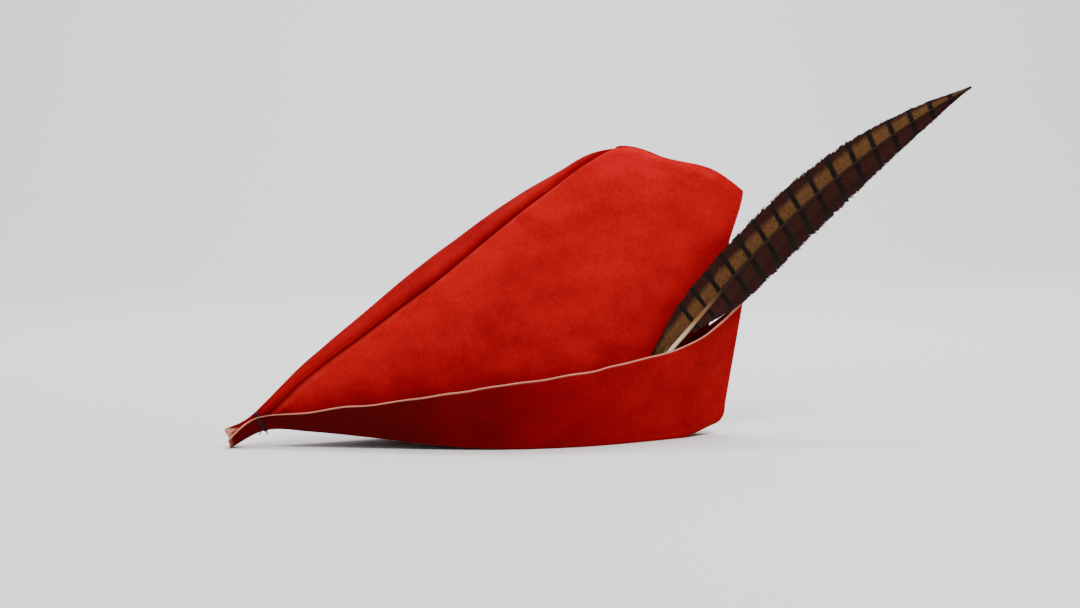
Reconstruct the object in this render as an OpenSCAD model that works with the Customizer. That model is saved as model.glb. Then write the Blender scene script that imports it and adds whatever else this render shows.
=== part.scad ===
// Pointed suede hat with a turned-up brim, a bound front tip and a pheasant tail feather.
// Millimetres. +Z is up, the tip points to -X, and the feather is on the -Y side, the wearer's left.
// The origin is the middle of the head opening, on the surface that the hat stands on.

/* [Suede] */
// Thickness of the suede
suede_t = 1.6; // [1.2:0.1:2]
// Gap left between two pieces of suede that are sewn together
sewing_gap = 0.2; // [0.1:0.05:0.4]

/* [Crown] */
// Height of the crown at its highest point
crown_h = 204; // [185:0.5:225]
// Widest half-width of the head opening
opening_half_w = 54; // [46:1:60]
// How full the sides of the crown are: 1 is a straight roof, 2 is an ellipse
fullness = 1.4; // [1.2:0.05:1.8]
// How far the ridge seam lies below the top of the crown, at most
seam_drop = 18.5; // [8:0.5:22]

/* [Brim] */
// Height of the brim's peak at the centre back
brim_h = 92; // [70:0.5:100]
// How far the brim's edge stands out beyond the crown's base, at the widest
brim_flare = 12; // [8:1:18]

/* [Binding] */
// Thickness of the thread that binds the tip
binding_d = 0.9; // [0.7:0.1:1.2]
// Turns of thread round the tip
binding_turns = 2; // [1:1:3]

/* [Stitching] */
// Thickness of the sewing thread
thread_d = 0.7; // [0.5:0.1:0.9]
// Distance from one stitch to the next
stitch_pitch = 7; // [5:0.5:12]

/* [Feather] */
// Straight length of the feather, from the keeper's stitch
straight_l = 80; // [70:1:90]
// Length of the feather's curved end
curved_l = 243; // [225:1:255]
// How far the curved end turns back, in degrees
feather_turn = 21; // [14:0.5:26]
// Angle at which the feather rises from the brim, in degrees
feather_rise = 45.5; // [44:0.5:47]
// Width of the wider vane at its widest
vane_w = 20; // [16:0.5:21]
// Thickness of a vane
vane_t = 0.6; // [0.5:0.1:0.8]
// Radius of the quill
quill_r = 1.7; // [1.5:0.05:1.8]

/* [Hidden] */

suede_red = [0.70, 0.08, 0.09];
thread_dark = [0.12, 0.05, 0.05];
thread_red = [0.45, 0.05, 0.06];
quill_cream = [0.86, 0.80, 0.66];
vane_brown = [0.42, 0.28, 0.15];
down_grey = [0.55, 0.50, 0.44];

// The ribs of the hat run from its base to its ridge. Rib 0 is the loose end of the tip,
// rib 1 is at the binding, and the last rib is the seam at the centre back.
// Each outline below has one point for each rib.
// Base of the brim: [x, z] of its underside.
base_line = [[-205.5, 0], [-180, 12], [-148, 11], [-104, 7.5], [-55, 2.5],
             [-5, 0], [40, 0], [80, 0], [110, 0], [127, 6]];
// Half-width of the crown at its base, as a share of the widest.
base_share = [0.055, 0.045, 0.20, 0.50, 0.81, 1, 0.93, 0.62, 0.28, 0.002];
// Ridge of the crown: [x, height as a share of the crown's height].
ridge_line = [[-209.5, 0.066], [-187, 0.117], [-150, 0.292], [-102, 0.483], [-46, 0.689],
              [14, 0.878], [70, 1], [108, 0.953], [138, 0.914], [162, 0.836]];
// Depth of the ridge seam below the ridge, as a share of the deepest.
seam_share = [0.1, 0.2, 0.52, 0.81, 1, 0.6, 0, 0, 0, 0];
// Free edge of the brim: [x, height as a share of the peak's height].
edge_line = [[-206.5, 0.070], [-186, 0.232], [-146, 0.280], [-100, 0.350], [-50, 0.428],
             [0, 0.512], [46, 0.576], [88, 0.645], [124, 0.755], [157, 1]];
// How far the free edge stands out beyond the crown's base, as a share of the widest.
edge_share = [0.2, 0.03, 0.4, 0.8, 1, 0.95, 0.95, 1, 0.6, 0];

last_rib = len(base_line) - 1;
binding_u = 1 / last_rib;
roll = 4;                // how far the brim's fold stands out beyond the crown's base
fold_rise = 3.2;         // height of the fold's outermost point above the base
back_roll = 16;          // how far the fold stands out behind the crown
back_fold_rise = 15;     // height of the fold's outermost point at the back
back_from = 0.8;         // share of the hat's length at which its back begins
wrap_from = 0.9;         // share of the hat's length at which the fold closes in to the back seam
back_slant = 1.5;        // thickness of the wall along X at the back seam, as a share of the suede's
crown_lift = suede_t + sewing_gap;   // the crown stands on the brim's sewn edge
corner_pull = 3;         // how far the crown's top corner at the back is rounded in
corner_power = 22;       // how sharply that rounding begins
crown_thin = 1.5;        // drop of the inside below the ridge, as a share of the suede's thickness
along_cells = 44;        // cells of a panel from tip to back
up_cells = 10;           // cells of a panel from base to edge
strip_v = 0.1;           // share of the brim's cells in its flat sewn strip
fold_v = 0.4;            // share of the brim's cells up to the fold's outermost point
strip_out = 1;           // how far the flat strip reaches beyond the crown's base
mid_y = 0.1;             // nothing of one side crosses this distance from the middle plane
past = 1;                // how far a bore's cutter runs past the face that it goes through
seam_gap_angle = 0.3;    // angle left between the two crown panels at the ridge seam, in degrees

// ---- curves and surfaces ----

function mix(a, b, k) = a + (b - a) * k;
function clamp01(k) = min(1, max(0, k));
function unit(v) = v / max(norm(v), 0.000001);

// Smooth curve through evenly spaced points, u from 0 to 1.
function through(p, u) =
    let (n = len(p) - 1, s = clamp01(u) * n, i = min(floor(s), n - 1), f = s - i,
         a = p[max(i - 1, 0)], b = p[i], c = p[i + 1], d = p[min(i + 2, n)])
    b + 0.5 * f * ((c - a) + f * ((2 * a - 5 * b + 4 * c - d) + f * (3 * (b - c) + d - a)));

function base_x(u) = through(base_line, u)[0];
function base_z(u) = max(0, through(base_line, u)[1]);
function half_w(u) = max(mid_y, opening_half_w * through(base_share, u));
function ridge_x(u) = through(ridge_line, u)[0];
function ridge_z(u) = crown_h * through(ridge_line, u)[1];
function crown_base_z(u) = base_z(u) + crown_lift;
function back(u) = pow(clamp01((u - back_from) / (1 - back_from)), 2);

// Angle of the ridge seam, from 0 at the left side of the base through 90 at the ridge.
function seam_angle(u) =
    let (drop = seam_drop * max(0, through(seam_share, u)),
         g = clamp01(1 - drop / (ridge_z(u) - crown_base_z(u))))
    asin(pow(g, fullness / 2));

// A point on the crown: u along the hat, a from 0 at the left base to 180 at the right one.
// deep is 0 on the outside and the suede's thickness on the inside.
function crown_at(u, a, deep = 0) =
    let (g = pow(max(0, sin(a)), 2 / fullness),
         c = pow(abs(cos(a)), 2 / fullness),
         w = half_w(u) - deep * (1 - back(u)),
         z0 = crown_base_z(u),
         rise = ridge_z(u) - z0 - deep * crown_thin)
    [mix(base_x(u), ridge_x(u), g * g) - deep * back_slant * back(u)
         - corner_pull * pow(g, corner_power) * back(u),
     (a < 90 ? -1 : 1) * max(mid_y, w * c), z0 + rise * g];

// A point on the left side of the brim: v from 0 at its sewn edge to 1 at its free edge.
function fold_at(u) =
    [base_x(u) + back_roll * back(u),
     half_w(u) + roll * clamp01((1 - u) / (1 - wrap_from)),
     base_z(u) + mix(fold_rise, back_fold_rise, back(u))];
function brim_wall(u, w) =
    let (f = fold_at(u), e = through(edge_line, u),
         out = f[1] + brim_flare * max(0, through(edge_share, u)))
    [mix(f[0], e[0], w), mix(f[1], out, w), mix(f[2], brim_h * e[1], w)];
function brim_section(u, v) =
    let (s = [base_x(u) - suede_t * back_slant * back(u), half_w(u) - suede_t * (1 - back(u)), base_z(u)],
         q = [base_x(u) + strip_out * back(u), half_w(u) + strip_out * (1 - back(u)), base_z(u)],
         f = fold_at(u), corner = [f[0], f[1], base_z(u)],
         k = clamp01((v - strip_v) / (fold_v - strip_v)))
    v < strip_v ? mix(s, q, v / strip_v)
    : v < fold_v ? mix(mix(q, corner, k), mix(corner, f, k), k)
    : brim_wall(u, (v - fold_v) / (1 - fold_v));
// Share of the wall's thickness that is taken upwards rather than sideways.
function lying(v) = clamp01((fold_v - v) / (fold_v - strip_v));
function brim_at(u, v, deep = 0) =
    let (p = brim_section(u, v), flat = lying(v), side = (1 - flat) * deep)
    [p[0] - side * back_slant * back(u), -max(mid_y, p[1] - side * (1 - back(u))), p[2] + flat * deep];

// ---- shapes ----

// A closed sheet from two grids of points, outer and inner, of nu by nv cells.
// turned is true where the grid runs the other way round.
module sheet(outer, inner, nu, nv, turned = false) {
    row = nv + 1;
    count = (nu + 1) * row;
    cells = [for (i = [0:nu - 1], j = [0:nv - 1]) i * row + j];
    skin = concat(
        [for (k = cells) [k, k + 1, k + row + 1]],
        [for (k = cells) [k, k + row + 1, k + row]],
        [for (k = cells) [count + k, count + k + row + 1, count + k + 1]],
        [for (k = cells) [count + k, count + k + row, count + k + row + 1]]);
    rim = concat(
        [for (i = [0:nu - 1]) [i * row, i * row + row]],
        [for (j = [0:nv - 1]) [nu * row + j, nu * row + j + 1]],
        [for (i = [nu:-1:1]) [i * row + nv, i * row - row + nv]],
        [for (j = [nv:-1:1]) [j, j - 1]]);
    edge = [for (r = rim, t = [[r[0], r[1], r[1] + count], [r[0], r[1] + count, r[0] + count]]) t];
    faces = concat(skin, edge);
    polyhedron(points = concat(outer, inner),
               faces = turned ? [for (f = faces) [f[0], f[2], f[1]]] : faces, convexity = 8);
}

// A cord along a flat path. up is square to the path's plane.
module cord(path, radii, up, closed = false, sides = 8) {
    n = len(path);
    rings = closed ? n : n - 1;
    before = [for (i = [0:n - 1]) closed ? (i + n - 1) % n : max(i - 1, 0)];
    after = [for (i = [0:n - 1]) closed ? (i + 1) % n : min(i + 1, n - 1)];
    points = [for (i = [0:n - 1], k = [0:sides - 1])
        let (out = cross(unit(path[after[i]] - path[before[i]]), up), a = k * 360 / sides)
        path[i] + radii[i] * (out * cos(a) + up * sin(a))];
    skin = [for (i = [0:rings - 1], k = [0:sides - 1])
        [i * sides + k, i * sides + (k + 1) % sides,
         (i + 1) % n * sides + (k + 1) % sides, (i + 1) % n * sides + k]];
    caps = closed ? [] : [[for (k = [sides - 1:-1:0]) k], [for (k = [0:sides - 1]) (n - 1) * sides + k]];
    polyhedron(points = points, faces = concat(skin, caps), convexity = 6);
}

// A straight thread of thickness d from p to q.
module thread(p, q, d) {
    v = q - p;
    translate(p)
        rotate([0, acos(v[2] / norm(v)), atan2(v[1], v[0])])
            cylinder(h = norm(v), d = d, $fn = 24);
}

function grid(nu, nv) = [for (i = [0:nu], j = [0:nv]) [i / nu, j / nv]];
function mirrored(p) = [p[0], -p[1], p[2]];
// Evenly spaced stitches over a seam of the given length.
function stitches(l) = [for (i = [1:floor(l / stitch_pitch)]) (i - 0.5) / floor(l / stitch_pitch)];

// ---- the suede pieces ----

module crown_left() {
    uv = grid(along_cells, up_cells);
    function a(g) = g[1] * (seam_angle(g[0]) - seam_gap_angle);
    color(suede_red)
        sheet([for (g = uv) crown_at(g[0], a(g))], [for (g = uv) crown_at(g[0], a(g), suede_t)],
              along_cells, up_cells);
}

module crown_right() {
    uv = grid(along_cells, up_cells);
    function a(g) = mix(seam_angle(g[0]), 180, g[1]);
    color(suede_red)
        sheet([for (g = uv) crown_at(g[0], a(g))], [for (g = uv) crown_at(g[0], a(g), suede_t)],
              along_cells, up_cells);
}

module brim_left() {
    uv = grid(along_cells, up_cells);
    color(suede_red)
        sheet([for (g = uv) brim_at(g[0], g[1])], [for (g = uv) brim_at(g[0], g[1], suede_t)],
              along_cells, up_cells);
}

module brim_right() {
    uv = grid(along_cells, up_cells);
    color(suede_red)
        sheet([for (g = uv) mirrored(brim_at(g[0], g[1]))],
              [for (g = uv) mirrored(brim_at(g[0], g[1], suede_t))],
              along_cells, up_cells, turned = true);
}

// ---- the sewing ----

stitch_from = 0.16;      // share of the hat's length at which the sewing begins, behind the binding
stitch_to = 0.99;        // share of the hat's length at which the ridge's sewing ends
across_angle = 1.6;      // half of a ridge stitch's reach, in degrees round the crown
across_u = 0.006;        // half of a back stitch's reach, as a share of the hat's length
ridge_seam_l = 290;      // lengths of the seams
crown_back_seam_l = 165;
brim_back_seam_l = 75;
brim_join_l = 300;
join_reach = 3;          // how far a join stitch runs up into the crown
join_low = 0.4;          // how far above the brim's underside it starts
end_angle = 8;           // the back stitches stop this far from both ends, in degrees round the crown

module ridge_stitching() {
    color(thread_dark)
        for (k = stitches(ridge_seam_l)) {
            u = mix(stitch_from, stitch_to, k);
            a = seam_angle(u);
            thread(crown_at(u, a - across_angle, suede_t), crown_at(u, a + across_angle, suede_t), thread_d);
        }
}

module crown_back_stitching() {
    color(thread_dark)
        for (k = stitches(crown_back_seam_l)) {
            p = crown_at(1 - across_u, mix(end_angle, 90 - end_angle, k), suede_t);
            thread(p, mirrored(p), thread_d);
        }
}

module brim_back_stitching() {
    color(thread_dark)
        for (k = stitches(brim_back_seam_l)) {
            p = brim_at(1 - across_u, mix(fold_v, 1, k), suede_t);
            thread(p, mirrored(p), thread_d);
        }
}

module join_stitches() {
    for (k = stitches(brim_join_l)) {
        u = mix(stitch_from, back_from, k);
        low = [base_x(u), -half_w(u) + suede_t / 2, base_z(u) + join_low];
        thread(low, low + [0, 0, crown_lift + join_reach], thread_d);
    }
}

module brim_join_stitching_left() {
    color(thread_red) join_stitches();
}

module brim_join_stitching_right() {
    color(thread_red) mirror([0, 1, 0]) join_stitches();
}

// ---- the bound tip ----

binding_steps = 32;
binding_square = 2.6;    // squareness of the binding's outline
binding_spare = 0.5;     // room between the binding's middle line and the suede
turn_gap = 0.1;          // room between one turn and the next
rib_low = [base_x(binding_u), 0, base_z(binding_u)];
rib_high = [ridge_x(binding_u), 0, ridge_z(binding_u)];
rib_up = unit(rib_high - rib_low);
rib_along = cross([0, 1, 0], rib_up);
binding_w = half_w(binding_u) + roll + binding_spare;
binding_h = norm(rib_high - rib_low) / 2 + binding_spare;
function power(x, e) = sign(x) * pow(abs(x), e);
function binding_path(shift) =
    [for (i = [0:binding_steps - 1]) let (a = i * 360 / binding_steps)
        (rib_low + rib_high) / 2 + shift * rib_along
        + binding_w * power(cos(a), 2 / binding_square) * [0, 1, 0]
        + binding_h * power(sin(a), 2 / binding_square) * rib_up];

module tip_binding() {
    color(thread_dark)
        for (i = [0:binding_turns - 1])
            cord(binding_path((i - (binding_turns - 1) / 2) * (binding_d + turn_gap)),
                 [for (k = [0:binding_steps - 1]) binding_d / 2], rib_along, closed = true);
}

knot_r = 1.5;
tail_l = 9;
tail_spread = 2.2;       // how far each tail leans to its own side
tail_out = 1;            // how far the tails stand out from the suede
module binding_knot() {
    at = (rib_low + rib_high) / 2 + [0, binding_w + knot_r, 0];
    color(thread_dark) {
        translate(at) sphere(r = knot_r, $fn = 24);
        for (side = [-1, 1])
            thread(at, at + [side * tail_spread, tail_out, -tail_l], binding_d);
    }
}

// ---- the feather and its keeper ----

keeper_at = [86.5, -35.2, 44];   // where the keeper's stitch crosses the quill's middle line
feather_yaw = 18;                // how far the feather's plane is turned from the hat's middle plane
quill_play = 0.4;                // room round the quill in the keeper's loops
loop_wall = 1.2;
loop_l = 3.5;
loop_off = 5;                    // distance of each loop from the stitch
foot_r = 7;
foot_t = 1;
foot_front = 3;                  // distance of the foot's face from the quill's middle line
head_gap = 0.3;                  // room between the stitch's head and the foot
stitch_r = 0.6;
stitch_play = 0.4;
head_r = 1.6;
head_t = 0.6;
stitch_l = 8;
butt_l = 22;                     // quill behind the stitch
vane_from = 12;                  // where the upper vane starts, measured from the stitch
lower_from = 46;                 // where the lower vane starts
quill_to = 30;                   // where the bare quill turns into the shaft
curve_r = curved_l / (feather_turn * PI / 180);
feather_l = straight_l + curved_l;
tip_r = 0.45;
shaft_steps = 22;
vane_steps = 26;
vane_bite = 0.3;                 // how deep a vane is set into the shaft
shaft_ease = 0.05;               // how much thinner the shaft is than the quill it grows from
least_share = 0.02;              // narrowest width of a vane, as a share of the widest
// Half-widths of the vanes along their length, as a share of the widest.
upper_share = [0.38, 0.76, 0.85, 0.87, 0.85, 0.78, 0.59, 0.33, 0.03];
lower_share = [0.20, 0.84, 0.99, 0.99, 0.87, 0.66, 0.37, 0.03];
tuft_from = 8;
tuft_l = 9;
tuft_r = 3.2;

// Puts its children in the feather's frame: X along the quill from the stitch, Z towards the upper
// vane, Y through the feather towards the crown.
module on_feather() {
    translate(keeper_at) rotate([0, 0, feather_yaw]) rotate([0, -feather_rise, 0]) children();
}

// The feather's middle line and the direction across it, s from the stitch.
function bend(s) = feather_turn * clamp01((s - straight_l) / curved_l);
function mid_line(s) = [min(s, straight_l) + curve_r * sin(bend(s)), -curve_r * (1 - cos(bend(s)))];
function across(s) = [sin(bend(s)), cos(bend(s))];
function shaft_r(s) = mix(quill_r, tip_r, pow(clamp01((s - quill_to) / (feather_l - quill_to)), 0.8));

module keeper_stitch() {
    head_y = foot_front - head_gap - head_t;
    color(thread_dark) on_feather() rotate([-90, 0, 0]) {
        translate([0, 0, head_y]) cylinder(h = head_t, r = head_r, $fn = 32);
        translate([0, 0, head_y + head_t / 2])
            cylinder(h = foot_front + stitch_l - head_y - head_t / 2, r = stitch_r, $fn = 32);
    }
}

module keeper_foot() {
    color(suede_red) on_feather() rotate([-90, 0, 0]) translate([0, 0, foot_front])
        difference() {
            cylinder(h = foot_t, r = foot_r, $fn = 48);
            translate([0, 0, -past]) cylinder(h = foot_t + 2 * past, r = stitch_r + stitch_play, $fn = 32);
        }
}

module keeper_loop() {
    color(suede_red) on_feather() for (side = [-1, 1])
        translate([side * loop_off, 0, 0]) rotate([0, 90, 0]) difference() {
            cylinder(h = loop_l, r = quill_r + quill_play + loop_wall, center = true, $fn = 48);
            cylinder(h = loop_l + 2 * past, r = quill_r + quill_play, center = true, $fn = 48);
        }
}

module quill() {
    color(quill_cream) on_feather() translate([-butt_l, 0, 0]) rotate([0, 90, 0])
        cylinder(h = butt_l + quill_to, r = quill_r, $fn = 48);
}

module shaft() {
    steps = [for (i = [0:shaft_steps]) mix(quill_to - 2, feather_l, i / shaft_steps)];
    color(quill_cream) on_feather()
        cord([for (s = steps) let (p = mid_line(s)) [p[0], 0, p[1]]],
             [for (s = steps) shaft_r(s) - shaft_ease], [0, 1, 0]);
}

// One vane from s = start to the feather's tip. side is 1 above the shaft and -1 below it.
module vane(start, share, side) {
    inner = [for (i = [0:vane_steps]) let (s = mix(start, feather_l, i / vane_steps))
        mid_line(s) + side * (shaft_r(s) - vane_bite) * across(s)];
    outer = [for (i = [vane_steps:-1:0]) let (k = i / vane_steps, s = mix(start, feather_l, k))
        mid_line(s) + side * (shaft_r(s) + vane_w * max(least_share, through(share, k))) * across(s)];
    color(vane_brown) on_feather() rotate([90, 0, 0])
        linear_extrude(height = vane_t, center = true) polygon(concat(inner, outer));
}

module upper_vane() {
    vane(vane_from, upper_share, 1);
}

module lower_vane() {
    vane(lower_from, lower_share, -1);
}

module down_tuft() {
    color(down_grey) on_feather() translate([tuft_from, 0, 0]) rotate([0, 90, 0])
        difference() {
            cylinder(h = tuft_l, r1 = tuft_r, r2 = quill_r + vane_bite, $fn = 32);
            translate([0, 0, -past]) cylinder(h = tuft_l + 2 * past, r = quill_r - vane_bite, $fn = 32);
        }
}

crown_left();
crown_right();
brim_left();
brim_right();
ridge_stitching();
crown_back_stitching();
brim_back_stitching();
brim_join_stitching_left();
brim_join_stitching_right();
tip_binding();
binding_knot();
keeper_stitch();
keeper_foot();
keeper_loop();
quill();
shaft();
upper_vane();
lower_vane();
down_tuft();
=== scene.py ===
"""Pointed suede hat with a turned-up brim and a barred tail feather, dressed on its CAD frame.

Lengths in the classes are in millimetres, as a hatter would write them, and meshes are in metres.
"""
import logging
import math
from dataclasses import dataclass, field
from enum import Enum
from typing import Callable, Sequence

import bpy
import numpy as np
from mathutils import Matrix, Vector, noise


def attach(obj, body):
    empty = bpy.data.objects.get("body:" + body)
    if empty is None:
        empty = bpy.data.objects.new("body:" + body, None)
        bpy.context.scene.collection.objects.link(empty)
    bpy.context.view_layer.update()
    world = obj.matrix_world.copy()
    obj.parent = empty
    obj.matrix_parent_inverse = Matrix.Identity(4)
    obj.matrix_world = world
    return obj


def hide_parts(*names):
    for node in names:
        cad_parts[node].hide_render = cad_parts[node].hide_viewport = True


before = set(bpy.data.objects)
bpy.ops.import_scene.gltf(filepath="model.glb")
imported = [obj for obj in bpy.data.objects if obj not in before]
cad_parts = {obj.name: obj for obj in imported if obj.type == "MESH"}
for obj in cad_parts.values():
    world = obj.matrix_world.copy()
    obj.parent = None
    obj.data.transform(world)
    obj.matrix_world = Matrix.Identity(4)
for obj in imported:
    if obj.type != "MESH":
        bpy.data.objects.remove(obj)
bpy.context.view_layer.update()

MM = 0.001
LOG = logging.getLogger("hat")
# The rounding of a cut edge: each step's share of the thickness, and how far it stands out in millimetres.
EDGE_ROUND = ((0.14, 0.22), (0.5, 0.34), (0.86, 0.22))
Triple = tuple[float, float, float]
Value = float | tuple | bpy.types.NodeSocket


class Side(Enum):
    """Which side of the hat a panel is on, as the sign of its Y."""

    LEFT = -1
    RIGHT = 1


class Vane(Enum):
    """Which vane of the feather, as the sign of its place across the shaft."""

    UPPER = 1
    LOWER = -1


# ---------------------------------------------------------------- curves and meshes


def through(points: Sequence, u: np.ndarray) -> np.ndarray:
    """Smooth curve through evenly spaced points.

    Args:
        points: the values, each a number or a tuple of numbers.
        u: places along the curve, from 0 to 1.

    Returns:
        One row of values for each u.
    """
    p = np.asarray(points, float)
    n = len(p) - 1
    s = np.clip(np.asarray(u, float), 0, 1) * n
    i = np.minimum(np.floor(s).astype(int), n - 1)
    f = s - i
    if p.ndim > 1:
        f = f[..., None]
    a, b, c, d = p[np.maximum(i - 1, 0)], p[i], p[i + 1], p[np.minimum(i + 2, n)]
    return b + 0.5 * f * ((c - a) + f * ((2 * a - 5 * b + 4 * c - d) + f * (3 * (b - c) + d - a)))


def mix(a: np.ndarray, b: np.ndarray, k: np.ndarray) -> np.ndarray:
    """Returns the value k of the way from a to b."""
    return a + (b - a) * k


def smooth(low: float, high: float, x: np.ndarray) -> np.ndarray:
    """Returns 0 below low, 1 above high, and a smooth rise between them."""
    t = np.clip((x - low) / (high - low), 0, 1)
    return t * t * (3 - 2 * t)


def cloudy(points: np.ndarray, size: float, seed: float) -> np.ndarray:
    """Smooth noise for a grid of points.

    Args:
        points: an array whose last axis is x, y, z in millimetres.
        size: the size of a lump, in millimetres.
        seed: an offset that makes each use different.

    Returns:
        Values from about -1 to 1, one for each point.
    """
    flat = points.reshape(-1, 3) / size + seed
    values = [noise.noise(Vector(p)) for p in flat]
    return np.asarray(values).reshape(points.shape[:-1])


def grid_normals(p: np.ndarray) -> np.ndarray:
    """Returns the unit normals of a grid of points, by its rows and columns."""
    n = np.cross(np.gradient(p, axis=0), np.gradient(p, axis=1))
    return n / np.maximum(np.linalg.norm(n, axis=2, keepdims=True), 1e-9)


def lengths_along(p: np.ndarray, axis: int) -> np.ndarray:
    """Returns how far along its row or column each point of a grid lies, in millimetres."""
    steps = np.linalg.norm(np.diff(p, axis=axis), axis=2)
    zero = np.zeros_like(np.take(steps, [0], axis=axis))
    return np.cumsum(np.concatenate([zero, steps], axis=axis), axis=axis)


def make_mesh(name: str, points: np.ndarray, faces: list, finishes: Sequence[bpy.types.Material],
              slots: Sequence[int] | None = None, angle: float = 40) -> bpy.types.Object:
    """Makes a mesh object at the origin.

    Args:
        name: the piece's name.
        points: its vertices, in millimetres.
        faces: its faces, as rows of vertex numbers.
        finishes: its materials.
        slots: the material number of each face.
        angle: edges sharper than this many degrees stay sharp.

    Returns:
        The new object.
    """
    mesh = bpy.data.meshes.new(name)
    mesh.from_pydata((np.asarray(points) * MM).tolist(), [], faces)
    for finish in finishes:
        mesh.materials.append(finish)
    if slots is not None:
        mesh.polygons.foreach_set("material_index", np.asarray(slots, np.int32))
    mesh.validate()
    obj = bpy.data.objects.new(name, mesh)
    bpy.context.scene.collection.objects.link(obj)
    pick(obj)
    bpy.ops.object.shade_smooth_by_angle(angle=math.radians(angle))
    return obj


def add_values(obj: bpy.types.Object, name: str, values: np.ndarray) -> None:
    """Stores one number for each vertex under a name that a material can read."""
    layer = obj.data.attributes.new(name, "FLOAT", "POINT")
    layer.data.foreach_set("value", np.asarray(values, np.float32).ravel())


def pick(obj: bpy.types.Object) -> None:
    """Selects one object and makes it active."""
    bpy.ops.object.select_all(action="DESELECT")
    obj.select_set(True)
    bpy.context.view_layer.objects.active = obj


def face_outwards(obj: bpy.types.Object) -> None:
    """Turns every face of a closed piece to point outwards."""
    pick(obj)
    bpy.ops.object.mode_set(mode="EDIT")
    bpy.ops.mesh.select_all(action="SELECT")
    bpy.ops.mesh.normals_make_consistent(inside=False)
    bpy.ops.object.mode_set(mode="OBJECT")


def select_where(obj: bpy.types.Object, part: str, wanted: Callable) -> None:
    """Selects the parts of a piece that pass a test, and leaves it in edit mode.

    Args:
        obj: the piece.
        part: "VERT", "EDGE" or "FACE".
        wanted: a test of one vertex, edge or face.
    """
    pick(obj)
    bpy.ops.object.mode_set(mode="EDIT")
    bpy.ops.mesh.select_mode(type=part)
    bpy.ops.mesh.select_all(action="DESELECT")
    bpy.ops.object.mode_set(mode="OBJECT")
    items = {"VERT": obj.data.vertices, "EDGE": obj.data.edges, "FACE": obj.data.polygons}[part]
    for item in items:
        item.select = bool(wanted(item))
    bpy.ops.object.mode_set(mode="EDIT")


def soften_edges(obj: bpy.types.Object, width: float) -> None:
    """Rounds the sharp edges of a piece by a width in millimetres and shades it smooth."""
    pick(obj)
    bevel = obj.modifiers.new("rounding", "BEVEL")
    bevel.width, bevel.segments, bevel.limit_method = width * MM, 3, "ANGLE"
    bpy.ops.object.modifier_apply(modifier="rounding")
    bpy.ops.object.shade_smooth_by_angle(angle=math.radians(50))


def closed_sheet(name: str, outer: np.ndarray, inner: np.ndarray, wear_and_highlight: np.ndarray, shade: np.ndarray,
                 finishes: Sequence[bpy.types.Material], flip: bool, cut_top: bool) -> bpy.types.Object:
    """Makes one piece of suede from the grids of its two faces, with a rounded edge all round.

    Args:
        name: the piece's name.
        outer: grid of points on the outside face.
        inner: grid of points on the inside face.
        wear_and_highlight: how pale each point of the grid is, from 0 to 1: rubbed edges, and on the crown a
            painted highlight beside the ridge seam.
        shade: the painted shade of each point, from 0, dark, to 1, light; above 1 it is a painted highlight.
        finishes: the suede and the cut edge.
        flip: true where the grid runs the other way round.
        cut_top: true where the last column is a bare cut edge. The first row, at the tip, always is.

    Returns:
        The new object.
    """
    nu, nv = outer.shape[:2]
    ring = [(i, 0) for i in range(nu)] + [(nu - 1, j) for j in range(1, nv)]
    ring += [(i, nv - 1) for i in range(nu - 2, -1, -1)] + [(0, j) for j in range(nv - 2, 0, -1)]
    count, rim = nu * nv, len(ring)
    index = np.arange(count).reshape(nu, nv)
    row, column = np.array(ring).T
    o, n = outer[row, column], inner[row, column]
    away = o - outer[np.clip(row, 1, nu - 2), np.clip(column, 1, nv - 2)]
    away /= np.maximum(np.linalg.norm(away, axis=1, keepdims=True), 1e-6)
    loops = [mix(o, n, k) + away * out for k, out in EDGE_ROUND]
    points = np.concatenate([outer.reshape(-1, 3), inner.reshape(-1, 3), *loops])
    corners = [index[:-1, :-1], index[:-1, 1:], index[1:, 1:], index[1:, :-1]]
    skin = np.stack([corner.ravel() for corner in corners], 1)
    faces = skin.tolist() + (skin[:, [0, 3, 2, 1]] + count).tolist()
    slots = [0] * len(faces)
    at_tip = (row == 0) & (np.roll(row, -1) == 0)
    bare = (at_tip | (cut_top & (column == nv - 1))).astype(int).tolist()
    edge = index[row, column]
    levels = [edge, *(2 * count + k * rim + np.arange(rim) for k in range(3)), edge + count]
    for low, high in zip(levels[:-1], levels[1:]):
        faces += np.stack([low, np.roll(low, -1), np.roll(high, -1), high], 1).tolist()
        slots += bare
    if flip:
        faces = [f[::-1] for f in faces]
    obj = make_mesh(name, points, faces, finishes, slots)
    # Paleness: rubbed and bare cut edges, and the crown's painted highlight beside its ridge seam.
    add_values(obj, "wear_and_highlight", np.concatenate([wear_and_highlight.ravel(), wear_and_highlight.ravel() * 0.6, np.tile(bare, 3)]))
    # Painted shade and painted highlight, which the suede's colour reads.
    add_values(obj, "shade", np.concatenate([shade.ravel(), shade.ravel(), np.tile(shade[row, column], 3)]))
    return obj


def tube_faces(rings: int, sides: int, closed: bool = False, tubes: int = 1) -> list[list[int]]:
    """Lists the faces of tubes whose points run ring by ring.

    Args:
        rings: how many rings of points each tube has.
        sides: how many points a ring has.
        closed: true where the last ring joins the first, and false where both ends are shut.
        tubes: how many tubes follow one another.

    Returns:
        The faces, as rows of vertex numbers.
    """
    faces = []
    for start in range(0, tubes * rings * sides, rings * sides):
        for i in range(rings if closed else rings - 1):
            low, high = start + i * sides, start + (i + 1) % rings * sides
            steps = [(k, (k + 1) % sides) for k in range(sides)]
            faces += [[low + k, low + following, high + following, high + k] for k, following in steps]
        if not closed:
            last = start + (rings - 1) * sides
            faces += [list(range(start, start + sides))[::-1], list(range(last, last + sides))]
    return faces


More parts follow.
